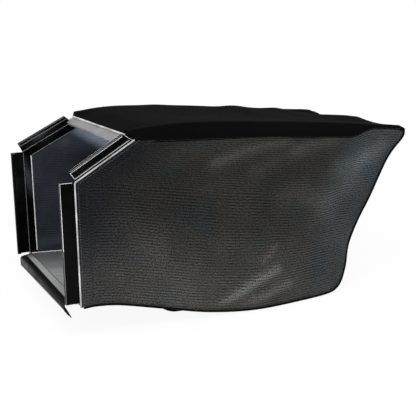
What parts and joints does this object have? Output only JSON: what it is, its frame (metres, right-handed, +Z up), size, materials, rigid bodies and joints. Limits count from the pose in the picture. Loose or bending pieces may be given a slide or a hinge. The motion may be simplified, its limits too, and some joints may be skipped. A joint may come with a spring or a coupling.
{
  "type": "mower grass collection bag",
  "caption": "Soft grass collection bag for a walk-behind mower, with mesh sides, a coated top and plastic clip strips round an angled mouth.",
  "frame": {"origin": "middle of the bag's length and width, at the level of the flat belly that it rests on", "axes": "+X from the mouth to the rear, -Y the side nearest the camera in the picture, +Z up"},
  "size_m": [0.7684, 0.4038, 0.3921],
  "materials": {
    "coated_cloth": "coated woven cloth, near black, slightly glossy",
    "mesh_cloth": "knitted mesh, charcoal, matt",
    "navy_band": "woven band, very dark navy, matt",
    "welt_tape": "folded binding tape, black, matt",
    "clip_strip": "extruded plastic, black, glossy",
    "grey_plate": "extruded plastic, grey, satin",
    "pale_piping": "plastic bead, light grey, satin"
  },
  "bodies": {
    "root": {"top_panel": "coated_cloth", "bottom_panel": "coated_cloth", "rear_panel": "mesh_cloth", "rear_top_welt": "welt_tape", "top_channel": "grey_plate", "top_piping": "pale_piping", "sill_plate": "grey_plate", "right_side_panel": "mesh_cloth", "right_mouth_hem": "navy_band", "right_side_welt": "welt_tape", "right_top_tape": "welt_tape", "right_side_channel": "clip_strip", "right_shoulder_channel": "clip_strip", "right_mouth_piping": "pale_piping", "left_side_panel": "mesh_cloth", "left_mouth_hem": "navy_band", "left_side_welt": "welt_tape", "left_top_tape": "welt_tape", "left_side_channel": "clip_strip", "left_shoulder_channel": "clip_strip", "left_mouth_piping": "pale_piping"}
  },
  "joints": []
}
